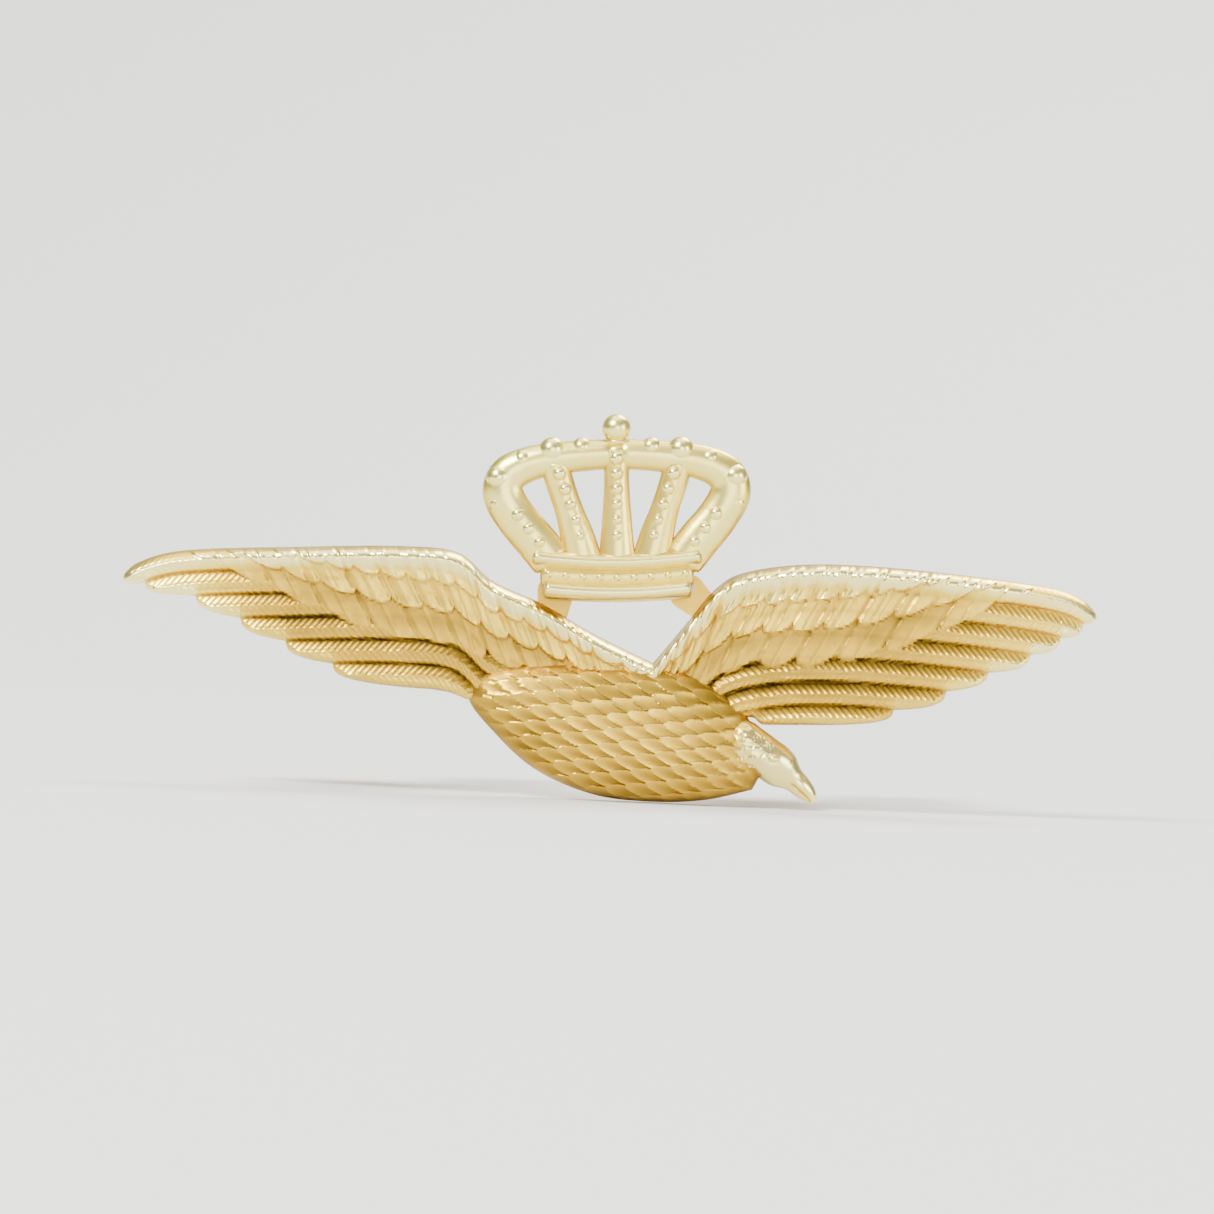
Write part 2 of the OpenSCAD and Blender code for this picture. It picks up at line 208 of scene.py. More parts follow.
def stepped(chord, x, side):
    """A wing's depth cut to whole feathers: the whole number of feather widths in it, plus a last feather that
    closes round its tip as a small power of the remainder. Behind the breast the depth is left as it is."""
    feathers = (chord - FIRST_STEP * FEATHER_W) / FEATHER_W
    whole = np.minimum(np.floor(feathers), FEATHERS[side] - 1)
    cut = FEATHER_W * (whole + np.clip(feathers - whole, 0, 1) ** STEP_POWER)
    outside = ease((abs(x) - abs(BODY_SIDE[side])) / 0.8)
    return chord + (np.maximum(cut, 0.05) - chord) * outside


def wing_edges(side, x):
    """Upper edge, and depth down to the stepped lower edge, of one wing at each x. Both close in a half
    circle at the tip: the half depth shrinks as the square root of one less the square of the way left."""
    upper, lower = (LEFT_UPPER, LEFT_LOWER) if side == "left" else (RIGHT_UPPER, RIGHT_LOWER)
    top, chord = height_on(upper, x), height_on(upper, x) - height_on(lower, x)
    depth = stepped(chord, x, side)
    close = np.sqrt(np.clip(1 - np.clip((abs(x) - WING_TIP + TIP_ROUND) / TIP_ROUND, 0, 1) ** 2, 0, 1))
    return top - depth * (1 - close) / 2, depth * close, chord


# %% [markdown]
# ## The wings
# On the real pin the feathers are struck into the front: long flight feathers that lie over each other like
# tiles and end in steps, three shorter rows of coverts over them, and a rounded bone along the upper edge.
# A bump texture would fake this, but it goes flat at the edges, so the feathers are real relief. Each wing is a
# grid that follows its own edges, and its height is a sum of simple waves of the depth below the upper edge.

# %% Feather relief
WING_FACE = 0.92  # mm in front of the back
RIM_FACE = 0.6
RIM_ROUND = 0.3
TILE_RISE, TILE_SWELL, QUILL_RISE = 0.17, 0.05, 0.055
QUILL_AT = 0.46  # share of a feather's width
BONE_RISE, BONE_DEPTH, BONE_WIDE = 0.24, 0.42, 0.34
BARB_PITCH = 0.26  # real barbs are too fine to show, so these are drawn coarser
COVERTS = [  # share of the wing's depth, pitch along the wing, height of the row, how far out it reaches
    (0.60, 1.55, 0.15, 16.6),
    (0.40, 1.20, 0.13, 15.2),
    (0.22, 0.95, 0.12, 13.6),
]


def covert_row(x, d, chord, share, pitch, rise, reach):
    """One row of short feathers. Its free edge is a row of half circles hung from a line at a share of the
    wing's depth, its feathers are parted by narrow valleys, and each has a fine shaft."""
    out = abs(x) + 0.55 * d
    across = out / pitch - np.floor(out / pitch) - 0.5
    lobe = 0.30 * pitch * np.sqrt(np.clip(1 - (2 * across) ** 2, 0, 1))
    sweep = np.clip((abs(x) - 6) / (reach - 6), 0, 1)
    fade = np.clip(1 - sweep**2.2, 0, 1) ** 0.7
    edge = share * chord * fade + lobe * fade**0.5 - 0.12
    inside = ease((edge - d) / 0.1) * ease(fade / 0.25)
    valley = np.exp(-(((0.5 - abs(across)) * pitch / 0.09) ** 2))
    shaft = np.exp(-((across * pitch / 0.07) ** 2))
    swell = ease(1 - (edge - d) / 1.1)
    return inside, rise * inside * (0.75 + 0.35 * swell) - inside * (0.055 * valley - 0.03 * shaft)


def wing_relief(x, d, chord):
    """Height of the feathers over the wing's face. A flight feather rises across its width and falls at its
    lower edge, with a quill along its middle. Covert rows are laid over them, and the wing bone runs along
    the upper edge as a bell curve. Also gives where the flight feathers lie bare, and their barbs' phase."""
    number = d / FEATHER_W
    t = number - np.floor(number)
    tile = t * (1 - ease((t - 0.84) / 0.16))
    quill = np.exp(-(((t - QUILL_AT) / 0.075) ** 2))
    flight = TILE_RISE * tile + TILE_SWELL * np.sin(np.pi * t) + QUILL_RISE * quill
    covered, rows = np.zeros_like(d), np.zeros_like(d)
    for share, pitch, rise, reach in COVERTS:
        inside, row = covert_row(x, d, chord, share, pitch, rise, reach)
        rows = rows + row
        covered = np.maximum(covered, inside)
    bone = BONE_RISE * np.exp(-(((d - BONE_DEPTH) / BONE_WIDE) ** 2)) * (1 - 0.6 * ease((abs(x) - 12) / 6))
    barb = (abs(x) + 0.9 * abs(t - QUILL_AT) * FEATHER_W) / BARB_PITCH
    bare = (1 - covered) * (1 - ease((0.9 - d) / 0.4) * 0.7)
    return flight * (1 - 0.85 * covered) + rows + bone, bare, barb


# %% Wing meshes
def closed_slab(x, z, front, back):
    """A front grid and a flat back grid with the same edge, joined round the edge by a narrow wall."""
    rows, cols = x.shape
    points = np.vstack([np.stack([x, -front, z], -1).reshape(-1, 3),
                        np.stack([x, np.full_like(x, -back), z], -1).reshape(-1, 3)])
    number = np.arange(rows * cols).reshape(rows, cols)
    rim = np.concatenate([number[0, :-1], number[:-1, -1], number[-1, :0:-1], number[:0:-1, 0]])
    after = np.roll(rim, -1)
    wall = np.stack([rim, after, after + rows * cols, rim + rows * cols], -1)
    faces = grid_faces(rows, cols)
    return points, np.vstack([faces, faces[:, ::-1] + rows * cols, wall])


BACK_OF_RELIEF = 0.5  # mm in front of the back, where the struck pieces end inside the back plate
LENGTHWAYS, CROSSWAYS = 660, 72
TIP_HIGHLIGHT, EDGE_HIGHLIGHT = 0.42, 0.4  # painted highlight added at the wing's end and along its lower edge
RELIEF_FULL = 0.45  # mm of relief that counts as bright


def wing(side):
    """The wing's grid: x runs from under the breast to the tip, and the other way from the upper edge to the
    stepped lower edge, closer together at the edges. Towards the edge the face falls in a quarter circle."""
    end = -WING_TIP if side == "left" else WING_TIP
    x = np.linspace(WING_ROOT, end, LENGTHWAYS)[None, :]
    s = np.linspace(0, 1, CROSSWAYS)[:, None]
    v = 0.6 * s + 0.4 * (0.5 - 0.5 * np.cos(np.pi * s))
    top, depth, chord = wing_edges(side, x)
    d = v * depth
    x, chord = np.broadcast_to(x, d.shape), np.broadcast_to(chord, d.shape)
    upper = height_on(LEFT_UPPER if side == "left" else RIGHT_UPPER, x)
    relief, bare, barb = wing_relief(x, d + (upper - top), chord)
    near = np.minimum(np.minimum(d, depth - d), np.maximum(WING_TIP - abs(x), 0) * 0.7)
    rim = np.sqrt(np.clip(1 - (1 - np.clip(near / RIM_ROUND, 0, 1)) ** 2, 0, 1))
    front = RIM_FACE + (WING_FACE + relief - RIM_FACE) * rim
    points, faces = closed_slab(x, top - d, front, BACK_OF_RELIEF)
    # painted highlight: the wing's end and its lower edge are coloured brightest
    tip_and_edge_highlight = TIP_HIGHLIGHT * ease((abs(x) - 12) / 6) + EDGE_HIGHLIGHT * np.exp(-(((depth - d) / 0.5) ** 2))
    on_front = {"relief": relief * rim / RELIEF_FULL + tip_and_edge_highlight, "barb": barb, "bare": bare * rim}
    both = {key: np.concatenate([values.ravel(), np.zeros(x.size)]) for key, values in on_front.items()}
    piece(f"{side}_wing", points, faces, "root", "struck_brass", ["bird"], both)


wing("left")
wing("right")

# %% [markdown]
# ## The breast
# The breast is the highest part of the badge, a smooth swelling with small scale feathers. A sphere squashed to
# fit would not meet the belly's edge, so the breast is a polar grid: spokes run from its middle to the edge.

# %% Breast
BREAST_MIDDLE = np.array([0.4, -3.75]) - DROP
BREAST_EDGE = smooth_line([[5.9, -5.9], [4.0, -6.4], [1.8, -6.55], [-0.4, -6.35], [-2.6, -5.5], [-4.3, -4.1],
                           [-5.35, -2.75], [-4.6, -1.7], [-2.4, -1.3], [0.2, -1.3], [1.8, -1.2], [3.4, -1.45],
                           [5.0, -2.4], [5.9, -3.6], [6.3, -4.8], [5.9, -5.9]]) - DROP
BREAST_HEIGHT = 1.32
SPOKES, RINGS = 420, 110
SCALE_LONG, SCALE_WIDE, SCALE_RISE = 0.74, 0.6, 0.06
SCALE_LEAN = math.radians(14)  # the rows run a little downhill to the head


def scale_feathers(x, z):
    """Overlapping round scales in staggered rows that run from the head to the tail. At each point the row
    nearest the head that reaches it is on top, and a scale rises towards its free edge as the square of the
    distance from its middle."""
    c, s = math.cos(SCALE_LEAN), math.sin(SCALE_LEAN)
    along = (-x * c + z * s) / SCALE_LONG
    across = (x * s + z * c) / SCALE_WIDE
    height, taken = np.zeros_like(along), np.zeros(along.shape, bool)
    for back in (2, 1, 0, -1):
        row = np.floor(along) - back
        stagger = 0.5 * (row % 2)
        off = across - stagger - np.round(across - stagger)
        reach = np.sqrt((off * 1.9) ** 2 + ((along - row) / 1.75) ** 2)
        inside = (reach < 1) & (along >= row - 0.2) & ~taken
        height = np.where(inside, reach**2, height)
        taken |= inside
    return height


def breast():
    """Spokes at even angles, with rings from the middle to the edge. The height falls from the middle as the
    square root of one less a power of the share of the way out."""
    angle = full_turn(SPOKES)
    spoke = BREAST_EDGE - BREAST_MIDDLE
    order = np.argsort(np.arctan2(spoke[:, 1], spoke[:, 0]))
    reach = np.interp(angle, np.arctan2(spoke[order, 1], spoke[order, 0]) % (2 * np.pi),
                      np.hypot(spoke[order, 0], spoke[order, 1]), period=2 * np.pi)
    share = np.sin(np.linspace(0, np.pi / 2, RINGS))[:, None]
    x = BREAST_MIDDLE[0] + share * reach * np.cos(angle)
    z = BREAST_MIDDLE[1] + share * reach * np.sin(angle)
    share = np.broadcast_to(share, x.shape)
    dome = np.sqrt(np.clip(1 - share**2.4, 0, 1))
    scales = scale_feathers(x, z)
    front = RIM_FACE + BREAST_HEIGHT * dome + SCALE_RISE * scales * ease((1 - share) / 0.14)
    rows, cols = x.shape
    grid = np.stack([x, -front, z], -1).reshape(-1, 3)
    floor = grid[-cols:] * [1, 0, 1] - [0, BACK_OF_RELIEF, 0]
    centre = np.array([[BREAST_MIDDLE[0], -BACK_OF_RELIEF, BREAST_MIDDLE[1]]])
    last = (rows - 1) * cols + np.arange(cols)
    after = (rows - 1) * cols + (np.arange(cols) + 1) % cols
    wall = np.stack([last, after, after + cols, last + cols], -1)
    spokes = np.stack([last + cols, after + cols, np.full(cols, (rows + 1) * cols)], -1)
    faces = np.vstack([grid_faces(rows, cols, wrap=True), wall]).tolist() + spokes.tolist()
    # the breast's number is kept low, so it is darker than the wings; each scale grows brighter towards its
    # raised free edge, as wear and painted highlight
    relief = np.concatenate([(0.2 + 0.5 * scales * (1 - share**6)).ravel(), np.zeros(cols + 1)])
    piece("breast", np.vstack([grid, floor, centre]), faces, "root", "struck_brass", ["bird"],
          {"relief": relief, "barb": np.zeros(len(relief))})


breast()

# %% [markdown]
# ## Head and beak
# The head stands a little proud at the lower right and is coloured bright, a painted highlight. It is a profile
# carried along a bent
# line: a round neck that narrows to the head and then to a short hooked beak, with small plumes on the neck, an
# eye, and a line for the mouth, darkened as painted shade. The back is pressed flat, because the whole badge is
# struck from one blank.

# %% Tubes carried along a line
def tube(line, across, deep, middle, around=40, flat_back=None):
    """A closed tube round a line in the badge's plane. At each point of the line an ellipse stands across it,
    with its half axes in the plane and in depth; both shrink to nothing at the ends, which closes them."""
    step = np.gradient(line, axis=0)
    step /= np.linalg.norm(step, axis=1, keepdims=True)
    side = np.stack([-step[:, 1], step[:, 0]], -1)
    turn = full_turn(around)
    flat = line[:, None, :] + side[:, None, :] * (across[:, None] * np.cos(turn))[..., None]
    y = np.broadcast_to(np.asarray(middle, float).reshape(-1, 1), flat.shape[:2]) - deep[:, None] * np.sin(turn)
    if flat_back is not None:
        y = np.minimum(y, -flat_back)
    points = np.stack([flat[..., 0], y, flat[..., 1]], -1).reshape(-1, 3)
    return points, grid_faces(len(line), around, wrap=True)


def along_line(line, values):
    """Numbers given at a few even steps along a line, smoothed to every point of it."""
    return smooth_line(np.stack([np.linspace(0, 1, len(values)), values], -1), 24)[
        np.linspace(0, (len(values) - 1) * 24, len(line)).astype(int), 1]


def ball(middle, radius, rings=20, around=32, squash=(1, 1, 1)):
    """A closed ball: rings at even angles from pole to pole, each radius the sine of its angle."""
    a = np.linspace(0, np.pi, rings)[:, None]
    b = full_turn(around)[None, :]
    points = np.stack([np.sin(a) * np.cos(b), np.cos(a) + 0 * b, np.sin(a) * np.sin(b)], -1)
    return (points * radius * squash + middle).reshape(-1, 3), grid_faces(rings, around, wrap=True)


# %% Head
HEAD_AROUND = 64
HEAD_MIDDLE = -0.72  # mm, the depth at which the head's ellipses stand
HEAD_WIDE = [0, 0.9, 1.0, 0.86, 0.8, 0.82, 0.74, 0.50, 0.43, 0.34, 0.2, 0]  # half axes from neck to beak's point
HEAD_DEEP = [0, 0.6, 0.8, 0.8, 0.84, 0.86, 0.7, 0.5, 0.46, 0.36, 0.22, 0]
EYE_AT = (6.62, -4.62)
EYE_BALLS = [(-1.42, 0.25), (-1.6, 0.15)]  # depth and size of the lid, and of the ball in it
MOUTH_ANGLE, MOUTH_WIDE = 1.95, 0.13
STRUCK_DEPTH = 0.07  # of the mouth line and of the plumes
head_line = smooth_line([[4.3, -4.3], [5.2, -4.15], [5.95, -4.35], [6.6, -4.75], [7.2, -5.2], [7.75, -5.65],
                         [8.15, -6.05], [8.25, -6.4]], 24) - DROP
head_across = np.maximum(along_line(head_line, HEAD_WIDE), 0)
head_deep = np.maximum(along_line(head_line, HEAD_DEEP), 0)
head_points, head_faces = tube(head_line, head_across, head_deep, np.full(len(head_line), HEAD_MIDDLE),
                               HEAD_AROUND, flat_back=0.02)
share = np.repeat(np.linspace(0, 1, len(head_line)), HEAD_AROUND)  # of the way from neck to beak's point
turn = np.tile(full_turn(HEAD_AROUND), len(head_line))  # round the head, a quarter turn at the front
on_beak = ease((share - 0.62) / 0.05) * ease((0.97 - share) / 0.05)
on_neck = ease((0.5 - share) / 0.2)
mouth = np.exp(-(((turn - MOUTH_ANGLE) / MOUTH_WIDE) ** 2)) * on_beak
plumes = scale_feathers(head_points[:, 0] * 1.5, head_points[:, 2] * 1.5) * on_neck
front = ease(-head_points[:, 1] - 0.5)  # only the front half is struck
head_points[:, 1] += front * STRUCK_DEPTH * (mouth - plumes)
# painted highlight: the head grows bright from the neck towards the beak; painted shade darkens the mouth line
# and the low middles of the neck plumes
head_shade = 0.6 + 0.4 * ease((share - 0.08) / 0.12) - 0.7 * mouth - 0.12 * (1 - plumes) * on_neck
head_parts = [(head_points, head_faces)]
for deep, size in EYE_BALLS:
    middle = np.array([EYE_AT[0], deep, EYE_AT[1] - DROP[1]])
    head_parts.append(ball(middle, size, 14, 20, squash=(1.25, 1, 0.9)))
head_points, head_faces = joined(head_parts)
# painted highlight: the eye's lid and ball get the brightest number
head_shade = np.concatenate([head_shade, np.ones(len(head_points) - len(head_shade))])
piece("head", head_points, head_faces, "root", "struck_brass", ["bird"],
      {"relief": head_shade, "barb": np.zeros(len(head_points))})

# %% [markdown]
# ## The flat back
# The reverse is flat, with a shallow round seat for each post. Its outline follows the wings' stepped edges a
# hair inside them. A flat curve with holes fills itself, so Blender finds the faces between the outline and
# the two seats, and the curve is made a mesh straight away.

# %% Back plate
INSET = 0.04
FLAT_SHADE = 0.45  # a flat face gets the middle of the ramp, neither brightened as wear and painted highlight nor darkened


def wing_outline(side, count=260):
    """The upper and the stepped lower edge of a wing, from the breast to the tip, a hair inside its faces."""
    x = np.linspace(BODY_SIDE[side], (WING_TIP - INSET) * np.sign(BODY_SIDE[side]), count)
    top, depth, _ = wing_edges(side, x)
    return (np.stack([x, top - np.minimum(INSET, depth / 2)], -1),
            np.stack([x, top - depth + np.minimum(INSET, depth / 2)], -1))


def flat_plate(name, loops, low, high, body, slot, instead_of):
    """A plate between two depths, from closed loops in the badge's plane; a loop inside another is a hole."""
    curve = bpy.data.curves.new(name, "CURVE")
    curve.dimensions = "2D"
    curve.fill_mode = "BOTH"
    curve.extrude = (high - low) / 2 * MM
    for loop in loops:
        spline = curve.splines.new("POLY")
        spline.points.add(len(loop) - 1)
        spline.points.foreach_set("co", np.column_stack([loop * MM, np.zeros(len(loop)),
                                                         np.ones(len(loop))]).ravel())
        spline.use_cyclic_u = True
    drawn = bpy.data.objects.new(name + "_drawn", curve)
    bpy.context.scene.collection.objects.link(drawn)
    bpy.context.view_layer.update()
    mesh = bpy.data.meshes.new_from_object(drawn.evaluated_get(bpy.context.evaluated_depsgraph_get()))
    bpy.data.objects.remove(drawn)
    flat = np.zeros(len(mesh.vertices) * 3)
    mesh.vertices.foreach_get("co", flat)
    flat = flat.reshape(-1, 3) / MM
    points = np.stack([flat[:, 0], flat[:, 2] + (low + high) / 2, flat[:, 1]], -1)
    faces = [list(p.vertices) for p in mesh.polygons]
    bpy.data.meshes.remove(mesh)
    piece(name, points, faces, body, slot, instead_of,
          {"relief": np.full(len(points), FLAT_SHADE), "barb": np.zeros(len(points))}, 25)


left_up, left_down = wing_outline("left")
right_up, right_down = wing_outline("right")
inner = np.vstack([LEFT_UPPER[(LEFT_UPPER[:, 0] > BODY_SIDE["left"])],
                   RIGHT_UPPER[(RIGHT_UPPER[:, 0] > WING_ROOT) & (RIGHT_UPPER[:, 0] < BODY_SIDE["right"])]])
belly = BREAST_MIDDLE + (BREAST_EDGE[:16 * 6] - BREAST_MIDDLE) * 0.985  # six of its spans, head to tail
# from the left tip over the top to the right tip, and back under the head, the belly and the left wing
outline = np.vstack([left_up[::-1], inner - [0, INSET], right_up, right_down[::-1],
                     [[5.75, -3.6], [6.2, -4.6]] - DROP, belly, left_down])
seats = []
for side in ("left", "right"):
    low, high = span_mm(side + "_post_solder")
    turn = full_turn(96)
    seats.append(np.stack([(low[0] + high[0]) / 2 + (high[0] - low[0]) / 2 * np.cos(turn),
                           (low[2] + high[2]) / 2 + (high[2] - low[2]) / 2 * np.sin(turn)], -1))
flat_plate("bird_back", [outline, *seats], -BACK_OF_RELIEF - 0.05, 0, "root", "struck_brass", ["bird"])

# %% Ears under the crown's foot
EARS = [(-2.4, 0.42), (2.75, 0.37)]  # from the middle of the crown's foot, along it and up
EAR_ROOTS = [(-2.3, -0.4), (4.3, 0.6)]  # inside the wings
EAR_R, EAR_THICK = 0.72, 0.6
EAR_BACK = -0.03  # a hair in front of the flat back, so that the two faces don't coincide
CROWN_FOOT = np.array([0.3, 1.15]) - DROP
CROWN_LEAN = math.radians(3)


def ear_outline(middle, root):
    """A half circle round the ear's middle, on the side away from its root, and a tongue that narrows towards
    the root, which lies inside the wing."""
    away = middle - root
    away /= np.linalg.norm(away)
    side = np.array([-away[1], away[0]])
    turn = np.linspace(-np.pi / 2, np.pi / 2, 33)[:, None]
    cap = middle + EAR_R * (np.cos(turn) * away + np.sin(turn) * side)
    return np.vstack([cap, [root + side * EAR_R * 0.6, root - side * EAR_R * 0.6]])


ear_loops = []
for (u, v), root in zip(EARS, EAR_ROOTS):
    middle = CROWN_FOOT + [u * math.cos(CROWN_LEAN) - v * math.sin(CROWN_LEAN),
                           u * math.sin(CROWN_LEAN) + v * math.cos(CROWN_LEAN)]
    ear_loops.append(ear_outline(middle, np.array(root) - DROP))
flat_plate("crown_ears", ear_loops, -EAR_THICK, EAR_BACK, "root", "struck_brass", ["bird"])

# %% [markdown]
# ## The crown
# The crown is a separate pierced casting, paler than the bird, soldered on between the wings. Five arches rise
# from a headband of two rims and meet under a plain ball, with pearls on the arches. Each arch is a tube
# carried along its own bent line, so the openings between them are real holes.

# %% Where the crown stands
CROWN_MIDDLE = -1.2  # mm, half-way through its thickness
BAND_HALF = 3.15
BAND_BEND = 0.022  # the headband turns up at its ends
CROWN_HIGH = 6.4


def on_badge(points):
    """Points of an upright crown, its foot's middle at the origin, leant and carried to the badge."""
    c, s = math.cos(CROWN_LEAN), math.sin(CROWN_LEAN)
    u, y, v = np.asarray(points, float).T
    return np.stack([CROWN_FOOT[0] + u * c - v * s, y, CROWN_FOOT[1] + u * s + v * c], -1)


def crown_piece(name, parts, relief):
    """Joins the parts, stands them on the badge and gives them their height for the finish to read."""
    points, faces = joined(parts)
    # painted highlight and shade: the further forward a point stands, the brighter its colour; the back half and
    # the walls of the openings stay darker
    depth = np.clip((-points[:, 1] - 1.2) / 0.9, 0, 1)
    piece(name, on_badge(points), faces, "root", "pale_brass", ["crown"],
          {"relief": relief + (1 - relief) * depth})


# %% Arches
ARCH_LINES = [  # the arch's line, and its half-width in the plane from foot to top
    ([[2.45, 1.5], [3.15, 2.4], [3.9, 3.3], [4.4, 4.2], [4.22, 4.95], [3.3, 5.42], [1.8, 5.66], [0.0, 5.78]],
     [0.80, 0.82, 0.80, 0.80, 0.76, 0.68, 0.62, 0.58]),
    ([[1.28, 1.5], [1.52, 2.5], [1.86, 3.6], [2.22, 4.7], [2.42, 5.5]], [0.74, 0.67, 0.56, 0.56, 0.6]),
    ([[0, 1.4], [0, 3.0], [0, 4.6], [0, 6.2]], [0.74, 0.60, 0.50, 0.52]),
]
arches = []
for points, widths in ARCH_LINES:
    line = smooth_line(points, 14)
    step = np.minimum(np.arange(len(line)), np.arange(len(line))[::-1])
    close = np.sqrt(1 - (1 - np.clip(step / 4, 0, 1)) ** 2)
    width = along_line(line, widths) * close
    for flip in (1, -1) if points[0][0] else (1,):
        arches.append(tube(line * [flip, 1], width, (0.36 + 0.24 * width) * close, CROWN_MIDDLE))
crown_piece("crown_arches", arches, 0.35)

# %% Headband
BAND_TUBES = [  # height, half-length, half-width in the plane, half-depth, points around
    (0.38, BAND_HALF - 0.25, 0.38, 0.74, 32),  # lower rim
    (1.56, BAND_HALF + 0.2, 0.36, 0.72, 32),  # upper rim
    (0.95, BAND_HALF - 0.15, 0.50, 0.42, 24),  # the web between them
]
u = np.linspace(-1, 1, 90)
end_close = np.sqrt(np.clip(1 - np.clip((abs(u) - 0.93) / 0.07, 0, 1) ** 2, 0, 1))


def band_line(height, half):
    """A line along the headband at some height, turned up at the ends as the square of the way out."""
    return np.stack([u * half, height + BAND_BEND * (u * half) ** 2], -1)


crown_piece("crown_headband", [tube(band_line(height, half), wide * end_close, deep * end_close, CROWN_MIDDLE,
                                    around) for height, half, wide, deep, around in BAND_TUBES], 0.25)

# %% Pearls and ball
TOP_PEARLS = [(4.58, 4.86, 0.52), (3.62, 5.56, 0.42), (2.5, 5.92, 0.52), (1.35, 6.02, 0.40),
              (4.62, 3.86, 0.40)]  # way out, height, radius; the same on both sides
ARCH_PEARLS = [(3.0, 2.35, 0.24), (3.42, 2.88, 0.26), (3.84, 3.42, 0.28), (1.44, 2.6, 0.2),
               (1.6, 3.2, 0.22), (1.8, 3.8, 0.24), (2.0, 4.4, 0.26), (2.22, 5.0, 0.28)]
MIDDLE_PEARLS = [(2.6, 0.22), (3.2, 0.22), (3.8, 0.24), (4.4, 0.26), (5.0, 0.28), (5.6, 0.3)]
pearls = []
for table, forward, rings, around in ((TOP_PEARLS, 0.12, 18, 26), (ARCH_PEARLS, 0.46, 12, 18)):
    for place, high, size in table:
        for flip in (1, -1):
            pearls.append(ball(np.array([flip * place, CROWN_MIDDLE - forward, high]), size, rings, around))
for high, size in MIDDLE_PEARLS:
    pearls.append(ball(np.array([0, CROWN_MIDDLE - 0.42, high]), size, 12, 18))
for place in BAND_HALF * np.linspace(-0.84, 0.84, 9):
    pearls.append(ball(np.array([place, CROWN_MIDDLE - 0.38, 0.97 + BAND_BEND * place**2]), 0.16, 10, 14))
crown_piece("crown_pearls", pearls, 0.5)
crown_piece("crown_ball", [
    ball(np.array([0, CROWN_MIDDLE, CROWN_HIGH + 0.36]), 0.56, 28, 40),
    ball(np.array([0, CROWN_MIDDLE, CROWN_HIGH - 0.16]), 0.46, 20, 32, squash=(1, 1, 0.4))], 0.5)

# %% [markdown]
# ## Posts and keepers
# Everything behind the badge is turned on a lathe: a profile of distance from the post against height, carried
# round in a full circle. The profile's corners are softened first, because no turned edge is truly sharp, and
# it is the small bright line along an edge that makes metal look solid.

# %% Lathe
def soften(profile, radius=0.05, steps=4):
    """Replaces each corner of a profile by a short curve: it leaves the line a little before the corner, bends
    towards it as a quadratic curve, and joins the next line a little after."""
    p = np.asarray(profile, float)
    before, after = np.roll(p, 1, 0) - p, np.roll(p, -1, 0) - p
    far_b, far_a = np.linalg.norm(before, axis=1), np.linalg.norm(after, axis=1)
    b = p + before * (np.minimum(radius, far_b * 0.45) / far_b)[:, None]
    a = p + after * (np.minimum(radius, far_a * 0.45) / far_a)[:, None]
    t = np.linspace(0, 1, steps)[None, :, None]
    return ((1 - t) ** 2 * b[:, None] + 2 * t * (1 - t) * p[:, None] + t**2 * a[:, None]).reshape(-1, 2)


def lathe(profile, centre, around=96, grip=None):
    """Carries a closed profile of (distance, height) round a post. grip takes the distance, height and angle
    arrays and gives how much to add to the distance, for milled ridges."""
    turn = full_turn(around)[None, :]
    r = np.broadcast_to(profile[:, :1], (len(profile), around)).copy()
    h = np.broadcast_to(profile[:, 1:], r.shape)
    if grip is not None:
        r += grip(r, h, np.broadcast_to(turn, r.shape))
    points = np.stack([centre + r * np.cos(turn), h, r * np.sin(turn)], -1).reshape(-1, 3)
    rows, cols = r.shape
    faces = grid_faces(rows, cols, wrap=True)
    first, last = np.arange(cols), (rows - 1) * cols + np.arange(cols)
    seam = np.stack([last, np.roll(last, -1), np.roll(first, -1), first], -1)
    return points, np.vstack([faces, seam])


# %% Posts
POST_R = 0.6
GROOVE_LONG, GROOVE_DEEP = 0.55, 0.12


def groove(at):
    """The profile of a shallow rolled groove that starts at a height along the post."""
    return [[POST_R, at], [POST_R - GROOVE_DEEP, at + GROOVE_LONG / 2], [POST_R, at + GROOVE_LONG]]


for side in ("left", "right"):
    low, high = span_mm(side + "_post")
    centre, flange_r, tip = (low[0] + high[0]) / 2, (high[0] - low[0]) / 2, high[1]
    profile = soften([[1e-4, low[1]], [flange_r, low[1]], [flange_r, 0], [0.85, 0], [POST_R, 0.3], *groove(1.75),
                      *groove(tip - 1.95), [POST_R, tip - 1.0], [POST_R * 0.55, tip - 0.35], [0.05, tip - 0.02],
                      [1e-4, tip]], 0.06)
    points, faces = lathe(profile, centre, 64)
    piece(side + "_turned_post", points, faces, "root", "drawn_brass", [side + "_post"])

# %% [markdown]
# ## Keepers
# A keeper is a small turned barrel with three steel balls inside. A spring pushes them up a cone, so they jam on
# the post, and pulling the cap lets go. Outside one sees a flange, a cap with a milled edge to grip, and the
# rivet head that holds the cap on.

# %% Keeper bases and caps
RIDGES, RIDGE_DEEP = 44, 0.06
RIDGE_FROM = 2.45  # mm from the post, so that the cap's inner wall stays round


def milled(low, high, count, depth):
    """Ridges along the post between two heights: a wave round the rim, as many times as there are ridges."""
    return lambda r, h, a: -depth * (0.5 + 0.5 * np.cos(count * a)) * (
        ease((h - low) / 0.08) * ease((high - h) / 0.08)) * (r > RIDGE_FROM)


def dense(profile, step=0.11):
    """The same profile with points no further apart than a step, so that ridges have something to bend."""
    p = np.vstack([profile, profile[:1]])
    far = np.concatenate([[0], np.cumsum(np.linalg.norm(np.diff(p, axis=0), axis=1))])
    at = np.union1d(far[:-1], np.arange(0, far[-1], step))
    return np.stack([np.interp(at, far, p[:, 0]), np.interp(at, far, p[:, 1])], -1)


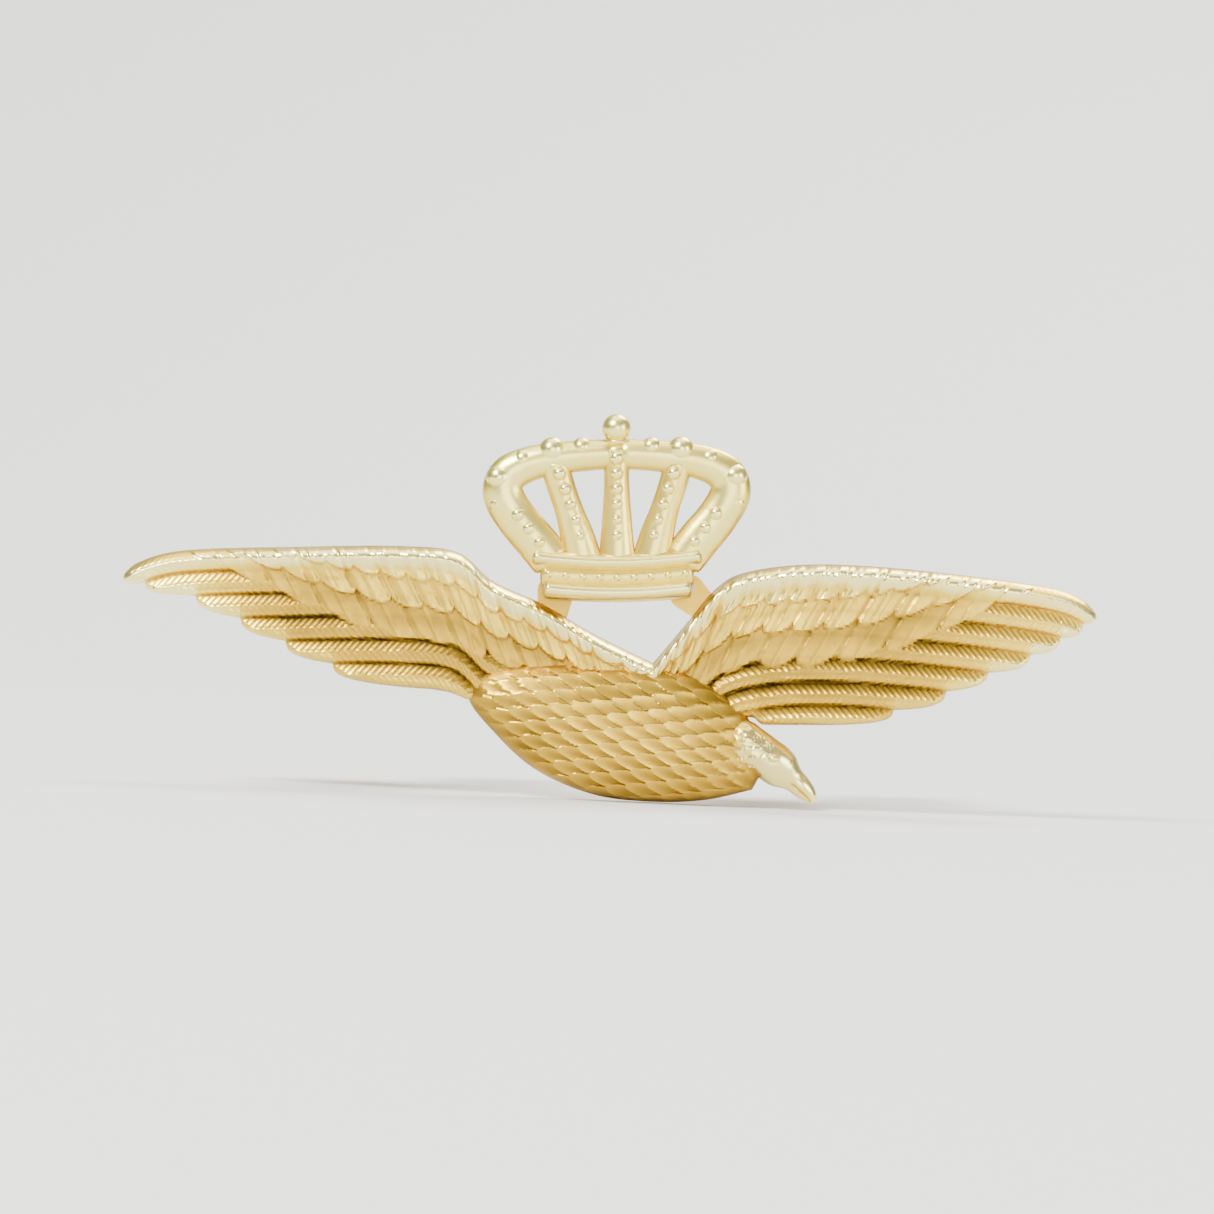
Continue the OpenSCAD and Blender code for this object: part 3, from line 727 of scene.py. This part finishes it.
for side in ("left", "right"):
    low, high = span_mm(side + "_keeper_base")
    centre, r, y = (low[0] + high[0]) / 2, (high[0] - low[0]) / 2, low[1]
    out, top = r - 0.5, high[1]  # the barrel's radius, and its mouth
    profile = soften([[0.85, y], [r - 0.15, y], [r, y + 0.15], [r, y + 0.4], [r - 0.1, y + 0.5], [out, y + 0.5],
                      [out, top], [out - 0.3, top], [out - 0.3, y + 3.5], [1.65, y + 0.8], [0.65, y + 0.8],
                      [0.65, y + 0.2]], 0.05)
    points, faces = lathe(profile, centre, 96)
    piece(side + "_turned_base", points, faces, f"{side}_keeper", "drawn_brass", [side + "_keeper_base"])

    low, high = span_mm(side + "_keeper_cap")
    r, y, top = (high[0] - low[0]) / 2, low[1], high[1]
    body_r, wall, plate = r - 0.12, 0.26, 0.4
    profile = soften([[body_r - wall, y], [r - 0.1, y], [r, y + 0.12], [r, y + 0.78], [r - 0.1, y + 0.9],
                      [body_r, y + 0.9], [body_r, y + 2.2], [body_r - 0.12, y + 2.35], [body_r - 0.12, y + 2.65],
                      [body_r, y + 2.8], [body_r, top - 0.9], [body_r - 0.2, top - 0.35], [body_r - 0.7, top],
                      [1.03, top], [1.03, top - plate], [body_r - wall - 0.35, top - plate],
                      [body_r - wall, top - plate - 0.35]], 0.07, 5)
    points, faces = lathe(dense(profile), centre, 288, milled(y + 0.08, y + 0.84, RIDGES, RIDGE_DEEP))
    piece(side + "_milled_cap", points, faces, f"{side}_cap", "drawn_brass", [side + "_keeper_cap"],
          smooth_angle=55)

# %% Rivet heads
for side in ("left", "right"):
    low, high = span_mm(side + "_ball_cage")
    centre, top = (low[0] + high[0]) / 2, high[1]
    t = np.linspace(0, np.pi / 2, 24)
    dome = np.stack([1.51 * np.cos(t) ** 0.8, top - 0.32 + 0.32 * np.sin(t)], -1)
    dimple = np.array([[0.16, top + 0.002], [0.0001, top - 0.06]])
    profile = np.vstack([[[1.01, top - 0.515], [1.51, top - 0.515]], dome[:-3], dimple, [[1e-4, top - 0.4]]])
    points, faces = lathe(soften(profile, 0.03, 3), centre, 72)
    piece(side + "_rivet_head", points, faces, f"{side}_lock", "nickel_steel", ())

# %% [markdown]
# ## Springs
# The spring is a round wire wound five turns, carried along a helix. Pulling the cap really does shorten it;
# each spring gets a mesh of its own.

# %% Springs
def helix_wire(centre, low, high, coil_r, wire_r, turns, around=14, per_turn=48):
    """A wire round a helix: its middle goes round at an even rate while it climbs, and a small circle stands
    across it, spanned by the way out and by the way up tilted to the climb."""
    t = np.linspace(0, turns * 2 * np.pi, turns * per_turn + 1)[:, None]
    b = full_turn(around)[None, :]
    climb = np.interp(t, [0, 2.4, turns * 2 * np.pi - 2.4, turns * 2 * np.pi], [0, 0.02, 0.98, 1])
    slope = math.atan2(high - low, 2 * np.pi * coil_r * turns)
    radius = wire_r * np.sqrt(np.clip(1 - (1 - np.clip(np.minimum(t, t[-1] - t) / 0.06, 0, 1)) ** 2, 0, 1))
    out, up = radius * np.cos(b), radius * np.sin(b)
    points = np.stack([centre + (coil_r + out) * np.cos(t) + up * math.sin(slope) * np.sin(t),
                       low + (high - low) * climb + up * math.cos(slope),
                       (coil_r + out) * np.sin(t) - up * math.sin(slope) * np.cos(t)], -1)
    return points.reshape(-1, 3), grid_faces(len(t), around, wrap=True)


SPRING_WIRE_R, SPRING_TURNS = 0.11, 5
springs = {}
for side in ("left", "right"):
    low, high = span_mm(side + "_keeper_spring")
    centre, wire_r = (low[0] + high[0]) / 2, SPRING_WIRE_R
    coil_r = (high[0] - low[0]) / 2 - wire_r
    points, faces = helix_wire(centre, low[1] + wire_r, high[1] - wire_r, coil_r, wire_r, SPRING_TURNS)
    springs[side] = piece(side + "_spring", points, faces, f"{side}_keeper", "spring_steel",
                          [side + "_keeper_spring"])
    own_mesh(springs[side])

# %% [markdown]
# ## Finishes
# Colours are given as they look on a screen and turned to the linear values that light adds up in. One helper
# adds a node, sets it and links it.

# %% Colour and node helpers
def linear(code):
    """An sRGB hex colour as linear RGBA: a straight line near black, and a power of 2.4 above it."""
    s = np.array([int(code[i:i + 2], 16) for i in (1, 3, 5)]) / 255
    return (*np.where(s <= 0.04045, s / 12.92, ((s + 0.055) / 1.055) ** 2.4), 1.0)


def add(tree, kind, values=None, links=None, **settings):
    """Adds a node with its settings, gives its sockets their values, and links others from outputs."""
    made = tree.nodes.new(kind)
    for key, value in settings.items():
        setattr(made, key, value)
    for key, value in (values or {}).items():
        made.inputs[key].default_value = value
    for key, output in (links or {}).items():
        tree.links.new(output, made.inputs[key])
    return made


def metal(name):
    """A new metal with its tree, its shader and its own coordinates. Metals keep the default IOR."""
    made = bpy.data.materials.new(name)
    made.use_nodes = True
    tree = made.node_tree
    shader = tree.nodes["Principled BSDF"]
    shader.inputs["Metallic"].default_value = 1.0
    return made, tree, shader, add(tree, "ShaderNodeTexCoord").outputs["Object"]


def ramp(tree, source, stops):
    """A colour ramp from a number, with stops given as (place, hex colour)."""
    made = add(tree, "ShaderNodeValToRGB", links={"Fac": source})
    elements = made.color_ramp.elements
    for _ in range(len(stops) - 2):
        elements.new(0.5)
    for element, (place, code) in zip(elements, stops):
        element.position, element.color = place, linear(code)
    return made.outputs["Color"]


# %% [markdown]
# ## Gilt struck brass
# The bird is gilding metal, struck and then given a thin gold wash. Its colour follows the relief number that
# each
# piece carries: bright on the high feather edges, as wear and painted highlight, and brown and dull down in the
# valleys, as tarnish and painted shade.

# %% Struck brass
def struck(name, stops, grain_mm, barbs):
    """Struck metal: colour and roughness follow the relief, clouded by a fine noise, with grain in the bump
    and, on the feathers, fine barbs that run off each quill."""
    made, tree, shader, place = metal(name)
    relief = add(tree, "ShaderNodeAttribute", attribute_name="relief").outputs["Fac"]
    cloud = add(tree, "ShaderNodeTexNoise", {"Scale": 1 / (2.2 * MM), "Detail": 5.0, "Roughness": 0.6},
                {"Vector": place}).outputs["Fac"]
    shift = add(tree, "ShaderNodeMath", {1: 0.36, 2: -0.18}, {0: cloud}, operation="MULTIPLY_ADD")
    level = add(tree, "ShaderNodeMath", {}, {0: relief, 1: shift.outputs[0]}, operation="ADD", use_clamp=True)
    # the colour ramp follows the relief: tarnish and painted shade low, wear and painted highlight high
    tree.links.new(ramp(tree, level.outputs[0], stops), shader.inputs["Base Color"])
    rough = add(tree, "ShaderNodeMapRange", {"To Min": 0.46, "To Max": 0.24}, {"Value": level.outputs[0]})
    tree.links.new(rough.outputs["Result"], shader.inputs["Roughness"])
    grain = add(tree, "ShaderNodeTexNoise", {"Scale": 1 / (grain_mm * MM), "Detail": 3.0}, {"Vector": place})
    bump = add(tree, "ShaderNodeBump", {"Strength": 0.35, "Distance": 0.02 * MM},
               {"Height": grain.outputs["Fac"]})
    if barbs:
        phase = add(tree, "ShaderNodeAttribute", attribute_name="barb").outputs["Fac"]
        turn = add(tree, "ShaderNodeMath", {1: 2 * math.pi}, {0: phase}, operation="MULTIPLY")
        bare = add(tree, "ShaderNodeAttribute", attribute_name="bare").outputs["Fac"]
        wave = add(tree, "ShaderNodeMath", {}, {0: turn.outputs[0]}, operation="SINE")
        wave = add(tree, "ShaderNodeMath", {}, {0: wave.outputs[0], 1: bare}, operation="MULTIPLY")
        bump = add(tree, "ShaderNodeBump", {"Strength": 0.5, "Distance": 0.018 * MM},
                   {"Height": wave.outputs[0], "Normal": bump.outputs["Normal"]})
    tree.links.new(bump.outputs["Normal"], shader.inputs["Normal"])
    return made


# dark stops for tarnish and painted shade in the valleys, near-white top stops for wear and painted highlight on
# the high edges
GILT_STOPS = [(0.0, "#33270a"), (0.16, "#86681e"), (0.42, "#cba230"), (0.75, "#efce4e"), (1.0, "#ffef98")]
PALE_STOPS = [(0.0, "#54430f"), (0.3, "#ccae42"), (0.6, "#f5de68"), (1.0, "#fff6a4")]
gilt = struck("gilt_struck_brass", GILT_STOPS, 0.16, True)
pale = struck("pale_cast_brass", PALE_STOPS, 0.2, False)  # the crown is cast, and thinly gilt


# %% [markdown]
# ## Turned metals
# Posts and keepers are cut from drawn brass bar, and the small inner parts are nickel-plated steel. A lathe
# leaves fine rings round the axis, so the bump is a wave of the distance along the post.

# %% Turned brass, nickel, spring steel and solder
def turned(name, bright, dull, rough, ring_mm):
    """Turned metal: two colours clouded together, and rings along the post's own direction in the bump."""
    made, tree, shader, place = metal(name)
    cloud = add(tree, "ShaderNodeTexNoise", {"Scale": 1 / (1.3 * MM), "Detail": 4.0}, {"Vector": place})
    tree.links.new(ramp(tree, cloud.outputs["Fac"], [(0.3, dull), (0.65, bright)]), shader.inputs["Base Color"])
    mapped = add(tree, "ShaderNodeMapRange", {"To Min": rough - 0.06, "To Max": rough + 0.1},
                 {"Value": cloud.outputs["Fac"]})
    tree.links.new(mapped.outputs["Result"], shader.inputs["Roughness"])
    rings = add(tree, "ShaderNodeTexNoise", {"Scale": 1.0, "Detail": 2.0})
    stretch = add(tree, "ShaderNodeMapping", {"Scale": (60, 1 / (ring_mm * MM), 60)}, {"Vector": place})
    tree.links.new(stretch.outputs["Vector"], rings.inputs["Vector"])
    bump = add(tree, "ShaderNodeBump", {"Strength": 0.25, "Distance": 0.01 * MM},
               {"Height": rings.outputs["Fac"]})
    tree.links.new(bump.outputs["Normal"], shader.inputs["Normal"])
    return made


drawn = turned("turned_brass", "#e6c77c", "#c9a558", 0.26, 0.09)
nickel = turned("nickel_plated_steel", "#dcdcd8", "#bdbdb8", 0.2, 0.08)
sprung = turned("drawn_spring_steel", "#c9ccd0", "#9fa3a8", 0.25, 0.05)
tin = turned("tin_solder", "#c4c4c0", "#98989a", 0.42, 0.4)

finish = {"struck_brass": gilt, "pale_brass": pale, "drawn_brass": drawn, "nickel_steel": nickel,
          "spring_steel": sprung, "solder": tin}
node_finish = {"crown_solder": tin}
for side in ("left", "right"):
    node_finish.update({f"{side}_post_solder": tin, f"{side}_end_ring": nickel, f"{side}_ball_cage": nickel,
                        f"{side}_lock_balls": nickel})
for obj in bpy.context.scene.objects:
    if obj.type == "MESH" and "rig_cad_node" in obj:
        obj.data.materials.clear()
        obj.data.materials.append(node_finish.get(obj.name, gilt))
    elif obj.type == "MESH" and "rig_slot" in obj:
        obj.data.materials.append(finish[obj["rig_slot"]])
print("finishes:", sorted(m.name for m in finish.values()))

# %% [markdown]
# ## Floor, light and camera
# The badge is shown upright on a pale sweep, a floor that curves up behind into a wall, so that no horizon
# crosses it. Metal shows what is around it, so the lamps are broad and soft, and one side is darker.

# %% Sweep
BEND_FROM, BEND_R = 200, 600  # mm behind the badge, and the radius of the curve
floor_z = cad_box[0][2] / MM - 0.05
bend = np.linspace(0, np.pi / 2, 24)
curve = np.stack([BEND_FROM + BEND_R * np.sin(bend), floor_z + BEND_R * (1 - np.cos(bend))], -1)
sweep_line = np.vstack([[[-2500, floor_z]], curve, [[BEND_FROM + BEND_R, 2600]]])
sweep_x = np.array([-3000.0, 3000.0])
sweep_points = np.stack([np.repeat(sweep_x[None, :], len(sweep_line), 0),
                         np.repeat(sweep_line[:, :1], 2, 1), np.repeat(sweep_line[:, 1:], 2, 1)], -1)
sweep_mesh = bpy.data.meshes.new("sweep")
sweep_mesh.from_pydata((sweep_points.reshape(-1, 3) * MM).tolist(), [],
                       grid_faces(len(sweep_line), 2).tolist())
sweep = bpy.data.objects.new("sweep", sweep_mesh)
bpy.context.scene.collection.objects.link(sweep)
for polygon in sweep_mesh.polygons:
    polygon.use_smooth = True
paper = bpy.data.materials.new("pale_paper")
paper.use_nodes = True
paper.node_tree.nodes["Principled BSDF"].inputs["Base Color"].default_value = linear("#d9d9d6")
paper.node_tree.nodes["Principled BSDF"].inputs["Roughness"].default_value = 0.9
sweep_mesh.materials.append(paper)

# %% World and lamps
world = bpy.data.worlds.new("studio")
bpy.context.scene.world = world
world.use_nodes = True
sky = world.node_tree
up = add(sky, "ShaderNodeSeparateXYZ", links={"Vector": add(sky, "ShaderNodeTexCoord").outputs["Generated"]})
shade = add(sky, "ShaderNodeMapRange", {"From Min": -0.4, "From Max": 0.9, "To Min": 0.0, "To Max": 1.0},
            {"Value": up.outputs["Z"]})
sky.links.new(ramp(sky, shade.outputs["Result"], [(0.0, "#5c5c5e"), (0.4, "#9e9e9e"), (1.0, "#fafaf8")]),
              sky.nodes["Background"].inputs["Color"])
sky.nodes["Background"].inputs["Strength"].default_value = 0.75


def lamp(name, place, size, power, colour="#ffffff"):
    """A soft square lamp that looks at the badge: its own -Z axis is turned to face the middle."""
    data = bpy.data.lights.new(name, "AREA")
    data.size, data.energy, data.color = size, power, linear(colour)[:3]
    obj = bpy.data.objects.new(name, data)
    bpy.context.scene.collection.objects.link(obj)
    obj.location = place
    obj.rotation_euler = (-Vector(place)).to_track_quat("-Z", "Y").to_euler()


lamp("key", (-0.30, -0.38, 0.46), 0.22, 9.0)
lamp("fill", (0.55, -0.35, 0.12), 0.3, 2.5)
lamp("back", (0.2, 0.35, 0.5), 0.3, 5.0)
lamp("wall", (0.0, 0.1, 1.3), 1.2, 14.0)
lamp("front", (0.10, -0.55, 0.03), 0.35, 2.1)

# %% Camera
centre = (np.array(cad_box[0]) + np.array(cad_box[1])) / 2
camera_data = bpy.data.cameras.new("camera")
camera = bpy.data.objects.new("camera", camera_data)
bpy.context.scene.collection.objects.link(camera)
camera_data.lens = 135
camera_data.clip_start, camera_data.clip_end = 0.005, 20
PICTURE_W = 0.0475  # metres across at the badge
distance = camera_data.lens / camera_data.sensor_width * PICTURE_W
camera.location = (centre[0], -distance, centre[2])
ROLL = math.radians(-2.7)  # the badge is worn with its left tip a little higher
camera.rotation_euler = (math.pi / 2, 0, 0)
camera.rotation_euler.rotate_axis("Z", -ROLL)
bpy.context.scene.camera = camera
print("camera", [round(c, 4) for c in camera.location], "picture", PICTURE_W)
